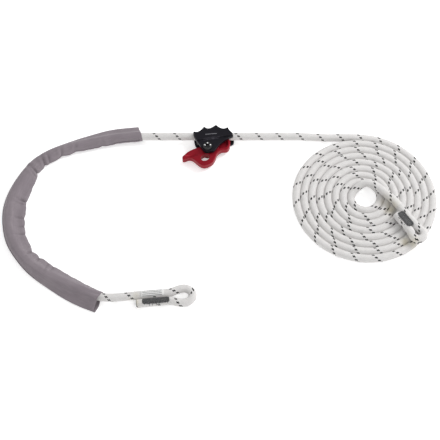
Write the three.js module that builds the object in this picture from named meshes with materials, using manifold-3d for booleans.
// Rope grab on a work-positioning lanyard, laid out on the floor. Millimetres, +Z up.
// The origin is on the floor, straight below the rope where it runs through the grab.
// The rope leaves the grab to a coil on +X, and to a sleeved half with a sewn eye on -X.

import * as THREE from 'three';
import { mergeVertices } from 'three/addons/utils/BufferGeometryUtils.js';
import Module from 'manifold-3d';

const manifold = await Module();
manifold.setup();

// ---- driving dimensions -------------------------------------------------------------

const GAP = 0.3; // air left between touching pieces

const ROPE_R = 5.5;
const ROPE_SIDES = 10;
const GRAB_ROPE_Z = 9.0; // rope axis inside the grab
const LAID_ROPE_Z = 6.7; // rope axis inside the sleeve and the lower eye
const RUN_STEPS = 64;

const COIL_X = 195;
const COIL_Y = -98.5;
const COIL_OUTER_R = 104;
const COIL_HOLE_R = 11;
const COIL_ROUNDING = 3;
const COIL_EYE_Z = 18.0; // rope axis of the eye that lies on the coil

const SLEEVE_HALF_WIDTH = 13.6;
const SLEEVE_HALF_HEIGHT = 6.7;
const SLEEVE_WALL = 0.7;
const SLEEVE_STEPS = 34;

const LEG_OFFSET = 5.65; // half the distance between an eye's two sewn legs

const PLATE_T = 3.0;
const COVER_Z = 15.2; // underside of the cover
const TERRACE_Z = 20.0; // lower step of the cover, around the axle
const COVER_TOP_Z = 22.5;
const TERRACE = { length: 70, width: 30, depth: 6, turn: 0.17, x: -10, y: -10.4 };
const WALL_INNER_Y = ROPE_R + GAP;
const WALL_OUTER_Y = 11.3;

const AXLE_X = -17.4;
const AXLE_Y = -24;
const AXLE_R = 4.0;
const BUSH_R = 5.6;
const SPRING_POCKET_R = 7.6;
const SPRING_R = 6.3;
const SPRING_WIRE_R = 0.45;
const SPRING_POCKET_Z = 11.0;
const SPRING_TOP_Z = 13.95;
const WASHER_R = 9;
const SPOOL_R = 5.4;
const AXLE_TAIL_R = 3;
const AXLE_HEAD_R = 6.2;
const AXLE_SOCKET_R = 3.4;
const NUT_R = 6;
const NUT_THICKNESS = 1.5;

const CAM_Z0 = 4.3;
const CAM_Z1 = 14.2;
const CAM_CHAMFER = 0.7;
const CAM_HUB_Z = 13; // the cam is thinner where it runs under the cover
const ARM_POCKET_Z = 10.2;
const CONNECTOR_HOLE = { x: -20.6, y: -38.1, rx: 6.6, ry: 5.2, tilt: 0.62 };
const TOOTH_PITCH = 2.2;
const TOOTH_DEPTH = 0.8;
const TOOTH_COUNT = 7;

const SCREW_Y = 8.6;
const SCREW_XS = [-21, -5, 8];
const SCREW_R = 1.9;
const SCREW_HEAD_R = 3.5;
const SCREW_HEAD_Z = 0.2; // heads lie this far inside the rear plate
const SCREW_NECK_Z = 1.8; // where a head has narrowed to its shank
const SCREW_TIP_Z = 9.2;
const GUIDE_SCREW_TIP_Z = 18.2;
const TIP_CLEARANCE = 0.4;
const POST_X = -30.5;
const POST_Y = -9.8;
const POST_R = 2.6;

// ---- routes and outlines ------------------------------------------------------------

// Rope axis from the lower eye, through the sleeve and the grab, to the coil.
const RUN_ROUTE = [
  [-112.2, -245.9, 6.7], [-118, -246.5, 6.7], [-129, -247.8, 6.7], [-141, -248.4, 6.7],
  [-154, -247.4, 6.7], [-168, -243.6, 6.7], [-181, -238, 6.7],
  [-209, -225.7, 6.7], [-235.5, -211.7, 6.7], [-259.5, -192, 6.7], [-277.5, -164.7, 6.7],
  [-285.5, -134.8, 6.7], [-284.5, -102, 6.7], [-273.6, -70.8, 6.7], [-257.5, -44.3, 6.7],
  [-231.7, -25.7, 6.7], [-203, -15.4, 6.7], [-174, -8, 6.7], [-144, -2.2, 8],
  [-115, 0, 9], [-108, 0, 9], [-60, 0, 9], [0, 0, 9], [60, 0, 9], [104, 0, 9],
  [110, 0, 9], [130, 0.5, 7], [147.5, 0.3, 5.6],
];

// Middle of the sleeve, from its end near the grab to its end near the lower eye.
const SLEEVE_ROUTE = [
  [-113.5, 6.6, 9], [-145, 4, 8], [-175, -3.3, 6.7], [-204, -12.6, 6.7],
  [-232, -25.2, 6.7], [-256.4, -45, 6.7], [-270.2, -72, 6.7], [-279, -102.7, 6.7],
  [-279.4, -134.2, 6.7], [-272.4, -162.5, 6.7], [-256, -189.2, 6.7], [-233.2, -209, 6.7],
  [-209, -225.2, 6.7], [-183, -240.8, 6.7], [-157, -253.4, 6.7],
];

// The rope's inner end, lying on the coil from above its hole to the coil eye.
const TAIL_ROUTE = [
  [202, -81.5, 16.8], [210, -84, 16.8], [217, -89.5, 16.8], [224.5, -97.5, 17.2],
  [231, -105, 17.8], [235.6, -110.4, 18], [239.1, -115.4, 18],
];

const SPIKES = [[-38, 0.6], [-22.3, 8.4], [-5.8, 11.4], [10.7, 7.4], [17.7, -2.5]];
const VALLEYS = [[-30.4, -0.4], [-15.5, 4.9], [3.0, 4.9], [13.5, 1.9]];
const COVER_LOWER_EDGE = [
  [18.1, -6], [9.4, -10.5], [0.8, -18.5], [-3.5, -24], [-7.7, -29.9], [-12, -31.3],
  [-18, -30.9], [-23.5, -28.9], [-26.6, -24], [-31.3, -16.3], [-34.5, -11.2],
  [-36.9, -4.9],
];

const REAR_OUTLINE = [
  [19.9, -4.5], [18, 2.5], [12.5, 9.5], [5, 13], [-6, 13.6], [-22, 13.2], [-30, 8.2],
  [-36.6, 0.5], [-36.4, -6], [-34.6, -12.2], [-30.2, -17.6], [-27.4, -24],
  [-23.5, -29], [-16, -31], [-8.5, -29.4], [-3.5, -24], [3, -17.5], [10.5, -12.2],
  [15.6, -10.4], [19.2, -8],
];

// Cam lever, from the left end of its toothed face round to the right end.
const TOOTHED_LEFT = [-4, -5.8];
const TOOTHED_RIGHT = [12.4, -5.8];
const CAM_OUTLINE = [
  [-8.5, -9.5], [-12, -12.7], [-17.4, -13.5], [-24.5, -16.2], [-28.5, -20],
  [-33.2, -22.4], [-39, -25], [-45.2, -28.9], [-49.4, -33.2], [-52.4, -36.2],
  [-52.4, -39.6], [-50.7, -41.2], [-47.1, -39.9], [-42.9, -38.4], [-38.1, -39.8],
  [-33.9, -43.5], [-27.4, -49.4], [-22.1, -51.1], [-16.8, -49.8], [-9.9, -45.1],
  [-6, -37.5], [-3.9, -31.2], [1.6, -25.6], [9, -24.8], [12.3, -22.1], [13.9, -18.2],
  [14.5, -13.5], [13.8, -8.2],
];
const ARM_POCKET = [
  [9.6, -9], [11.4, -14], [10.6, -18.4], [7.8, -21.6], [1.6, -22.2], [-2.6, -24.2],
  [-2.4, -19.5], [0.6, -12.5], [4.5, -9],
];

// ---- materials ----------------------------------------------------------------------

function material(colour, roughness, metalness) {
  return new THREE.MeshStandardMaterial({ color: colour, roughness, metalness });
}

const BLACK_ANODISED = material(0x17161d, 0.4, 0.7);
const RED_ANODISED = material(0xa31c2b, 0.35, 0.7);
const POLISHED_STEEL = material(0xc9cbcf, 0.2, 1);
const DARK_STEEL = material(0x3a3b40, 0.4, 0.9);
const BRONZE = material(0x9c7a3c, 0.45, 0.9);
const WHITE_ROPE = material(0xdedad6, 0.85, 0);
const GREY_FABRIC = material(0x857a84, 0.9, 0);
const GREY_THREAD = material(0x4c4f57, 0.8, 0);
const CLEAR_PLASTIC = material(0xe4e6e4, 0.2, 0);
const LABEL_PAPER = material(0xefefec, 0.7, 0);

// ---- helpers ------------------------------------------------------------------------

function toSolid(geometry) {
  const bare = geometry.clone();
  bare.deleteAttribute('normal');
  bare.deleteAttribute('uv');
  const merged = mergeVertices(bare, 1e-4);
  return new manifold.Manifold(new manifold.Mesh({
    numProp: 3,
    vertProperties: new Float32Array(merged.attributes.position.array),
    triVerts: new Uint32Array(merged.index.array),
  }));
}

function fromSolid(solid) {
  const result = solid.getMesh();
  const geometry = new THREE.BufferGeometry();
  geometry.setAttribute('position', new THREE.BufferAttribute(result.vertProperties, 3));
  geometry.setIndex(new THREE.BufferAttribute(result.triVerts, 1));
  geometry.computeVertexNormals();
  return geometry;
}

function cut(geometry, tools) {
  return fromSolid(tools.reduce((left, tool) => left.subtract(toSolid(tool)), toSolid(geometry)));
}

function join(geometries) {
  return fromSolid(geometries.map(toSolid).reduce((sum, solid) => sum.add(solid)));
}

function shapeOf(points) {
  return new THREE.Shape(points.map(([x, y]) => new THREE.Vector2(x, y)));
}

function smoothOpen(points, perSpan) {
  const curve = new THREE.SplineCurve(points.map(([x, y]) => new THREE.Vector2(x, y)));
  return curve.getPoints((points.length - 1) * perSpan).map((p) => [p.x, p.y]);
}

function smoothClosed(points, perSpan) {
  const knots = points.map(([x, y]) => new THREE.Vector3(x, y, 0));
  const curve = new THREE.CatmullRomCurve3(knots, true, 'centripetal');
  return curve.getPoints(points.length * perSpan).slice(0, -1).map((p) => [p.x, p.y]);
}

function plate(points, z0, z1) {
  const depth = z1 - z0;
  const geometry = new THREE.ExtrudeGeometry(shapeOf(points), { depth, bevelEnabled: false });
  return geometry.translate(0, 0, z0);
}

function rod(x, y, radius, z0, z1, segments = 32) {
  const geometry = new THREE.CylinderGeometry(radius, radius, z1 - z0, segments);
  return geometry.rotateX(Math.PI / 2).translate(x, y, (z0 + z1) / 2);
}

// A turned piece about a vertical axis: profile points are [radius, z].
function turned(x, y, profile, segments = 32) {
  const points = profile.map(([r, z]) => new THREE.Vector2(r, z));
  return new THREE.LatheGeometry(points, segments).rotateX(Math.PI / 2).translate(x, y, 0);
}

function turnedRing(x, y, innerR, outerR, z0, z1, segments = 32) {
  const profile = [[innerR, z0], [outerR, z0], [outerR, z1], [innerR, z1], [innerR, z0]];
  return turned(x, y, profile, segments);
}

// Joins loops of equal length, given from the bottom up and anticlockwise, into a solid.
function loft(loops) {
  const count = loops[0].points.length;
  const positions = loops.flatMap(({ points, z }) => points.flatMap(([x, y]) => [x, y, z]));
  const index = [];
  for (let level = 0; level + 1 < loops.length; level += 1) {
    for (let i = 0; i < count; i += 1) {
      const a = level * count + i;
      const b = level * count + (i + 1) % count;
      index.push(a, b, b + count, a, b + count, a + count);
    }
  }
  const cap = (loop, offset, flip) => {
    const contour = loop.points.map(([x, y]) => new THREE.Vector2(x, y));
    for (const [a, b, c] of THREE.ShapeUtils.triangulateShape(contour, [])) {
      index.push(offset + a, offset + (flip ? c : b), offset + (flip ? b : c));
    }
  };
  cap(loops[0], 0, true);
  cap(loops.at(-1), (loops.length - 1) * count, false);
  const geometry = new THREE.BufferGeometry();
  geometry.setAttribute('position', new THREE.Float32BufferAttribute(positions, 3));
  geometry.setIndex(index);
  geometry.computeVertexNormals();
  return geometry;
}

// Moves every point of an anticlockwise loop inwards along its own bisector.
function inset(points, distance) {
  return points.map(([x, y], i) => {
    const [px, py] = points.at(i - 1);
    const [nx, ny] = points[(i + 1) % points.length];
    const length = Math.hypot(nx - px, ny - py);
    return [x - (ny - py) / length * distance, y + (nx - px) / length * distance];
  });
}

function routeCurve(points) {
  const knots = points.map(([x, y, z]) => new THREE.Vector3(x, y, z));
  return new THREE.CatmullRomCurve3(knots, false, 'centripetal');
}

function ropeTube(curve, steps) {
  const section = [];
  for (let i = 0; i < ROPE_SIDES; i += 1) {
    const angle = 2 * Math.PI * i / ROPE_SIDES;
    section.push([ROPE_R * Math.cos(angle), ROPE_R * Math.sin(angle)]);
  }
  return new THREE.ExtrudeGeometry(shapeOf(section), { steps, extrudePath: curve });
}

// A loop with two straight sides along Y and round ends, for sections swept along a route.
function stadium(halfHeight, halfWidth, endSteps) {
  const straight = halfWidth - halfHeight;
  const points = [];
  for (const side of [1, -1]) {
    for (let i = 0; i <= endSteps; i += 1) {
      const angle = (Math.PI / 2) * (1 - 2 * i / endSteps);
      const x = side * halfHeight * Math.sin(angle);
      points.push([x, side * (straight + halfHeight * Math.cos(angle))]);
    }
  }
  return points;
}

// Extrudes a section drawn in (y, z) along +X.
function alongX(points, x0, x1) {
  const geometry = new THREE.ExtrudeGeometry(shapeOf(points), { depth: x1 - x0, bevelEnabled: false });
  const turn = new THREE.Matrix4().makeBasis(
    new THREE.Vector3(0, 1, 0), new THREE.Vector3(0, 0, 1), new THREE.Vector3(1, 0, 0),
  );
  return geometry.applyMatrix4(turn).translate(x0, 0, 0);
}

const group = new THREE.Group();

function addMesh(parent, name, geometry, meshMaterial) {
  const mesh = new THREE.Mesh(geometry, meshMaterial);
  mesh.name = name;
  parent.add(mesh);
}

// ---- grab: frame --------------------------------------------------------------------

// The far edge of the cover: concave arcs between spikes, spread outwards by the draft.
function scallops(spikeDraft, valleyDraft) {
  const points = [];
  const stepsPerArc = 7;
  SPIKES.slice(0, -1).forEach(([ax, ay], i) => {
    const [bx, by] = SPIKES[i + 1];
    const [vx, vy] = VALLEYS[i];
    const cx = 2 * vx - (ax + bx) / 2;
    const cy = 2 * (vy + valleyDraft) - (ay + by) / 2 - spikeDraft;
    for (let k = 0; k < stepsPerArc; k += 1) {
      const t = 0.04 + 0.92 * k / (stepsPerArc - 1);
      const [wa, wc, wb] = [(1 - t) ** 2, 2 * t * (1 - t), t * t];
      points.push([
        wa * ax + wc * cx + wb * bx,
        wa * (ay + spikeDraft) + wc * cy + wb * (by + spikeDraft),
      ]);
    }
  });
  return points;
}

function coverLoop(spikeDraft, valleyDraft, lowerScale) {
  const [middleX, middleY] = [-10, -8];
  const lower = smoothOpen([SPIKES.at(-1), ...COVER_LOWER_EDGE, SPIKES[0]], 3).slice(1, -1);
  const scaled = lower.map(([x, y]) => [
    middleX + (x - middleX) * lowerScale,
    middleY + (y - middleY) * lowerScale,
  ]);
  return [...scallops(spikeDraft, valleyDraft), ...scaled].reverse();
}

function wallSection() {
  return [
    [WALL_INNER_Y, PLATE_T + GAP], [WALL_OUTER_Y, PLATE_T + GAP], [WALL_OUTER_Y, 9.5],
    [7.4, COVER_Z + 0.4], [WALL_INNER_Y, COVER_Z + 0.4],
  ];
}

function frontBody() {
  const slab = loft([
    { points: coverLoop(1, 2.8, 1), z: COVER_Z },
    { points: coverLoop(0.3, 1.0, 0.995), z: COVER_TOP_Z - 2.2 },
    { points: coverLoop(0, 0, 0.94), z: COVER_TOP_Z },
  ]);
  const wall = alongX(wallSection(), -26, 12);
  const terrace = new THREE.BoxGeometry(TERRACE.length, TERRACE.width, TERRACE.depth)
    .translate(0, -TERRACE.width / 2, TERRACE.depth / 2)
    .rotateZ(TERRACE.turn)
    .translate(TERRACE.x, TERRACE.y, TERRACE_Z);
  const holeR = SCREW_R + GAP;
  const blindScrews = SCREW_XS.map(
    (x) => rod(x, SCREW_Y, holeR, 0, SCREW_TIP_Z + TIP_CLEARANCE, 20),
  );
  const postHole = rod(POST_X, POST_Y, holeR, 0, GUIDE_SCREW_TIP_Z + TIP_CLEARANCE, 20);
  const axleHole = rod(AXLE_X, AXLE_Y, AXLE_R + GAP, 0, 30);
  return cut(join([slab, wall]), [terrace, ...blindScrews, postHole, axleHole]);
}

function countersink(x, y) {
  return turned(x, y, [
    [0, -1], [SCREW_HEAD_R + GAP, -1], [SCREW_HEAD_R + GAP, SCREW_HEAD_Z],
    [SCREW_R + GAP, SCREW_NECK_Z + 0.1], [SCREW_R + GAP, PLATE_T + 2], [0, PLATE_T + 2],
  ], 24);
}

function rearPlate() {
  const blank = plate(smoothClosed(REAR_OUTLINE, 3), 0, PLATE_T);
  const nutPocket = rod(AXLE_X, AXLE_Y, NUT_R + GAP, -1, SCREW_HEAD_Z + NUT_THICKNESS + GAP);
  const axleHole = rod(AXLE_X, AXLE_Y, AXLE_TAIL_R + GAP, -1, PLATE_T + 1);
  const sinks = SCREW_XS.map((x) => countersink(x, SCREW_Y));
  return cut(blank, [nutPocket, axleHole, countersink(POST_X, POST_Y), ...sinks]);
}

function countersunkScrew(x, y, tipZ) {
  const blank = turned(x, y, [
    [0, SCREW_HEAD_Z], [SCREW_HEAD_R, SCREW_HEAD_Z], [SCREW_R, SCREW_NECK_Z],
    [SCREW_R, tipZ - 0.5], [SCREW_R - 0.5, tipZ], [0, tipZ],
  ], 20);
  return cut(blank, [rod(x, y, 1.2, -1, 1.3, 6)]);
}

function addFrame(parent) {
  addMesh(parent, 'front_body', frontBody(), BLACK_ANODISED);
  addMesh(parent, 'rear_plate', rearPlate(), BLACK_ANODISED);
  SCREW_XS.forEach((x, i) => {
    addMesh(parent, `frame_screw_${i + 1}`, countersunkScrew(x, SCREW_Y, SCREW_TIP_Z), DARK_STEEL);
  });
  addMesh(parent, 'guide_screw', countersunkScrew(POST_X, POST_Y, GUIDE_SCREW_TIP_Z), DARK_STEEL);
  const post = turnedRing(POST_X, POST_Y, SCREW_R + GAP, POST_R, PLATE_T + GAP, COVER_Z - GAP, 20);
  addMesh(parent, 'guide_post', post, POLISHED_STEEL);
}

// ---- grab: cam, axle and spring -----------------------------------------------------

function camAxle() {
  const blank = turned(AXLE_X, AXLE_Y, [
    [0, 0.4], [AXLE_TAIL_R - 0.4, 0.4], [AXLE_TAIL_R, 0.8], [AXLE_TAIL_R, PLATE_T + GAP],
    [AXLE_R, PLATE_T + GAP], [AXLE_R, TERRACE_Z + GAP], [AXLE_HEAD_R, TERRACE_Z + GAP],
    [AXLE_HEAD_R, COVER_TOP_Z - 0.6], [AXLE_HEAD_R - 0.8, COVER_TOP_Z + 0.2],
    [0, COVER_TOP_Z + 0.2],
  ]);
  return cut(blank, [rod(AXLE_X, AXLE_Y, AXLE_SOCKET_R, COVER_TOP_Z - 1.4, COVER_TOP_Z + 1, 6)]);
}

function axleNut() {
  const top = SCREW_HEAD_Z + NUT_THICKNESS;
  const blank = turnedRing(AXLE_X, AXLE_Y, AXLE_TAIL_R + GAP, NUT_R, SCREW_HEAD_Z, top);
  const slots = [-1, 1].map((side) => rod(AXLE_X + side * 4.6, AXLE_Y, 0.7, -1, 1, 12));
  return cut(blank, slots);
}

// Torsion spring: two turns round the spool, then a leg that rests against the guide post.
class SpringPath extends THREE.Curve {
  static turns = 2;
  static leaveAngle = 1.268;
  static legLength = 17;
  static rise = 2.05;

  getPoint(t, target = new THREE.Vector3()) {
    const coilLength = 2 * Math.PI * SPRING_R * SpringPath.turns;
    const along = t * (coilLength + SpringPath.legLength);
    const onCoil = Math.min(along, coilLength);
    const angle = SpringPath.leaveAngle + (onCoil - coilLength) / SPRING_R;
    const past = along - onCoil;
    return target.set(
      AXLE_X + SPRING_R * Math.cos(angle) - past * Math.sin(angle),
      AXLE_Y + SPRING_R * Math.sin(angle) + past * Math.cos(angle),
      SPRING_TOP_Z - SpringPath.rise * (1 - onCoil / coilLength),
    );
  }
}

function camSpring() {
  const section = new THREE.Shape().absarc(0, 0, SPRING_WIRE_R, 0, 2 * Math.PI);
  return new THREE.ExtrudeGeometry(section, {
    steps: 48, curveSegments: 4, extrudePath: new SpringPath(),
  });
}

function camTeeth() {
  const teeth = [];
  for (let i = 0; i < TOOTH_COUNT; i += 1) {
    const x = TOOTHED_LEFT[0] + 0.6 + i * TOOTH_PITCH;
    const y = TOOTHED_LEFT[1];
    const notch = [[x, y + 1], [x, y], [x + TOOTH_PITCH - 0.5, y - TOOTH_DEPTH],
      [x + TOOTH_PITCH - 0.2, y], [x + TOOTH_PITCH - 0.2, y + 1]];
    teeth.push(plate(notch.reverse(), CAM_Z0 - 1, CAM_Z1 + 1));
  }
  return teeth;
}

function camLever() {
  const edge = smoothOpen([TOOTHED_LEFT, ...CAM_OUTLINE, TOOTHED_RIGHT], 3);
  const blank = loft([
    { points: inset(edge, CAM_CHAMFER), z: CAM_Z0 },
    { points: edge, z: CAM_Z0 + CAM_CHAMFER },
    { points: edge, z: CAM_Z1 - CAM_CHAMFER },
    { points: inset(edge, CAM_CHAMFER), z: CAM_Z1 },
  ]);
  const { x, y, rx, ry, tilt } = CONNECTOR_HOLE;
  const connectorHole = new THREE.CylinderGeometry(1, 1, 20, 36)
    .rotateX(Math.PI / 2)
    .scale(rx, ry, 1)
    .rotateZ(tilt)
    .translate(x, y, (CAM_Z0 + CAM_Z1) / 2);
  const hubFace = new THREE.BoxGeometry(28, 17, 4).translate(-19, -13.5, CAM_HUB_Z + 2);
  return cut(blank, [
    connectorHole,
    rod(AXLE_X, AXLE_Y, BUSH_R + GAP, 0, 20),
    rod(AXLE_X, AXLE_Y, SPRING_POCKET_R, SPRING_POCKET_Z, 20),
    hubFace,
    plate(smoothClosed(ARM_POCKET, 2), ARM_POCKET_Z, CAM_Z1 + 1),
    ...camTeeth(),
  ]);
}

function addCam(parent) {
  addMesh(parent, 'cam_lever', camLever(), RED_ANODISED);
  const bush = turnedRing(AXLE_X, AXLE_Y, AXLE_R + GAP, BUSH_R, CAM_Z0, SPRING_POCKET_Z - GAP);
  addMesh(parent, 'cam_bush', bush, BRONZE);
  addMesh(parent, 'cam_axle', camAxle(), POLISHED_STEEL);
  addMesh(parent, 'axle_nut', axleNut(), DARK_STEEL);
  const washer = turnedRing(AXLE_X, AXLE_Y, AXLE_R + GAP, WASHER_R, PLATE_T + GAP, CAM_Z0 - GAP);
  addMesh(parent, 'cam_washer', washer, BRONZE);
  const spool = turnedRing(
    AXLE_X, AXLE_Y, AXLE_R + GAP, SPOOL_R, SPRING_POCKET_Z + GAP, COVER_Z - GAP,
  );
  addMesh(parent, 'spring_spool', spool, BRONZE);
  addMesh(parent, 'cam_spring', camSpring(), POLISHED_STEEL);
}

// ---- rope, sleeve and coil ----------------------------------------------------------

function sleeve() {
  const outer = shapeOf(stadium(SLEEVE_HALF_HEIGHT, SLEEVE_HALF_WIDTH, 6));
  const innerHalfHeight = SLEEVE_HALF_HEIGHT - SLEEVE_WALL;
  const inner = stadium(innerHalfHeight, SLEEVE_HALF_WIDTH - SLEEVE_WALL, 6);
  outer.holes.push(new THREE.Path(inner.map(([x, y]) => new THREE.Vector2(x, y))));
  return new THREE.ExtrudeGeometry(outer, {
    steps: SLEEVE_STEPS, extrudePath: routeCurve(SLEEVE_ROUTE),
  });
}

function coil() {
  const height = 2 * ROPE_R;
  const near = COIL_ROUNDING;
  const profile = [
    [COIL_HOLE_R + near, 0], [COIL_OUTER_R - near, 0], [COIL_OUTER_R, near],
    [COIL_OUTER_R, height - near], [COIL_OUTER_R - near, height],
    [COIL_HOLE_R + near, height], [COIL_HOLE_R, height - near], [COIL_HOLE_R, near],
    [COIL_HOLE_R + near, 0],
  ];
  return turned(COIL_X, COIL_Y, profile, 56);
}

function addRope(parent) {
  addMesh(parent, 'rope_run', ropeTube(routeCurve(RUN_ROUTE), RUN_STEPS), WHITE_ROPE);
  addMesh(parent, 'protective_sleeve', sleeve(), GREY_FABRIC);
  addMesh(parent, 'rope_coil', coil(), WHITE_ROPE);
  addMesh(parent, 'coil_tail', ropeTube(routeCurve(TAIL_ROUTE), 10), WHITE_ROPE);
}

// ---- sewn eyes ----------------------------------------------------------------------
// An eye is drawn with its tip at the origin and its legs along -X: the leg that carries on
// as the rope is at +Y and the leg that ends is at -Y.

function eyeRope({ mainStart, cutEnd, legsEnd, loopHalfWidth, loopLength }) {
  const straight = [mainStart, (mainStart + legsEnd) / 2, legsEnd - 3, legsEnd];
  const points = straight.map((x) => [x, LEG_OFFSET]);
  const centreX = -ROPE_R - loopLength / 2;
  const arcSteps = 10;
  for (let i = 0; i <= arcSteps; i += 1) {
    const angle = THREE.MathUtils.degToRad(105 - 210 * i / arcSteps);
    points.push([
      centreX + loopLength / 2 * Math.cos(angle),
      loopHalfWidth * Math.sin(angle),
    ]);
  }
  for (const x of [legsEnd, legsEnd - 3, (cutEnd + legsEnd) / 2, cutEnd]) {
    points.push([x, -LEG_OFFSET]);
  }
  return ropeTube(routeCurve(points.map(([x, y]) => [x, y, 0])), 40);
}

// A thin strip bent round a leg: its section is an arc about the leg's axis at y = middle.
function bentStrip(middle, innerR, outerR, fromDeg, toDeg, x0, x1) {
  const points = [];
  for (const [radius, from, to] of [[outerR, fromDeg, toDeg], [innerR, toDeg, fromDeg]]) {
    for (let i = 0; i <= 6; i += 1) {
      const angle = THREE.MathUtils.degToRad(from + (to - from) * i / 6);
      points.push([middle + radius * Math.cos(angle), radius * Math.sin(angle)]);
    }
  }
  return alongX(points, x0, x1);
}

// Thread over the leg that ends.
function threadOverLeg({ stitchStart, stitchEnd }) {
  return bentStrip(-LEG_OFFSET, ROPE_R + GAP, ROPE_R + 0.75, 50, 136, stitchStart, stitchEnd);
}

// Thread that bridges the valley between the legs.
function threadOverValley({ stitchStart, stitchEnd }) {
  const [low, high] = [ROPE_R + GAP, ROPE_R + 1.05];
  const [near, far] = [3.4, -6.8];
  return alongX([[near, high], [far, high], [far, low], [near, low]], stitchStart, stitchEnd);
}

function clearTube({ tubeStart, tubeEnd }) {
  const innerR = 6.6;
  const wall = 0.5;
  const halfWidth = 5.2;
  const rise = 0.575;
  const section = (radius) => stadium(radius, halfWidth + radius, 7)
    .map(([x, y]) => [y, x + rise]);
  const outer = alongX(section(innerR + wall), tubeStart, tubeEnd);
  return cut(outer, [alongX(section(innerR), tubeStart - 1, tubeEnd + 1)]);
}

// A printed slip that hugs the top of the leg that carries on.
function label({ labelStart, labelEnd }) {
  return bentStrip(LEG_OFFSET, ROPE_R + GAP, ROPE_R + 0.6, 52, 110, labelStart, labelEnd);
}

function addEye(parent, name, eye) {
  const place = new THREE.Group();
  place.position.set(eye.tipX, eye.tipY, eye.z);
  place.rotation.z = THREE.MathUtils.degToRad(eye.headingDeg);
  parent.add(place);
  addMesh(place, name, eyeRope(eye), WHITE_ROPE);
  addMesh(place, `${name}_stitching`, eye.stitching(eye), GREY_THREAD);
  addMesh(place, `${name}_tube`, clearTube(eye), CLEAR_PLASTIC);
  if (eye.labelEnd) {
    addMesh(place, `${name}_label`, label(eye), LABEL_PAPER);
  }
}

const LOWER_EYE = {
  tipX: -29.7, tipY: -244, z: LAID_ROPE_Z, headingDeg: 5.2,
  mainStart: -82, cutEnd: -79, legsEnd: -35, loopHalfWidth: 10, loopLength: 25,
  stitching: threadOverLeg, stitchStart: -70.5, stitchEnd: -38,
  tubeStart: -80, tubeEnd: -36,
  labelStart: -70, labelEnd: -43,
};

const COIL_EYE = {
  tipX: 269.5, tipY: -172.6, z: COIL_EYE_Z, headingDeg: -57,
  mainStart: -64, cutEnd: -54, legsEnd: -23, loopHalfWidth: 7.6, loopLength: 16,
  stitching: threadOverValley, stitchStart: -50.5, stitchEnd: -27,
  tubeStart: -58, tubeEnd: -26.5,
};

addFrame(group);
addCam(group);
addRope(group);
addEye(group, 'lower_eye', LOWER_EYE);
addEye(group, 'coil_eye', COIL_EYE);

export default group;
